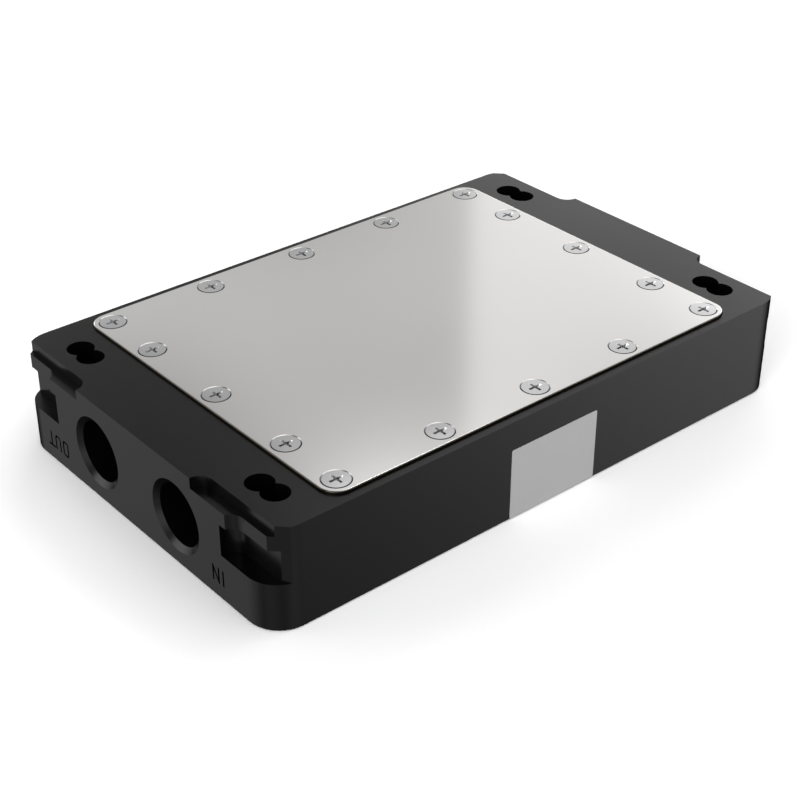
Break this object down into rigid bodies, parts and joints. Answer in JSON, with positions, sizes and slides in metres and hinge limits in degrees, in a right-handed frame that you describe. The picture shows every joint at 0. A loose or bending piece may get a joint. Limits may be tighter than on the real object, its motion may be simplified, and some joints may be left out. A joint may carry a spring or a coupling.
{
  "type": "liquid cooling block",
  "caption": "Flat liquid cooling block: a black machined body with coolant ports in one end, closed by a bright screwed-down metal plate that is the cooling face.",
  "frame": {"origin": "centre of the bottom face, which is the back of the block, opposite the cooling face", "axes": "+X along the length, from the ported end to the plain end; +Y across, away from the labelled side; +Z out of the cooling face"},
  "size_m": [0.137, 0.0871, 0.0232],
  "materials": {
    "body_plastic": "machined black plastic, matt",
    "plate_metal": "plated, satin, finely ground",
    "screw_steel": "zinc plated, smooth",
    "seal_rubber": "moulded black rubber",
    "fin_metal": "bare copper sheet",
    "label_foil": "blank grey foil, matt"
  },
  "bodies": {
    "root": {"body_block": "body_plastic", "cover_plate": "plate_metal", "cover_screws": "screw_steel", "cover_seal": "seal_rubber", "inlet_fins": "fin_metal", "outlet_fins": "fin_metal", "side_label": "label_foil"}
  },
  "joints": []
}
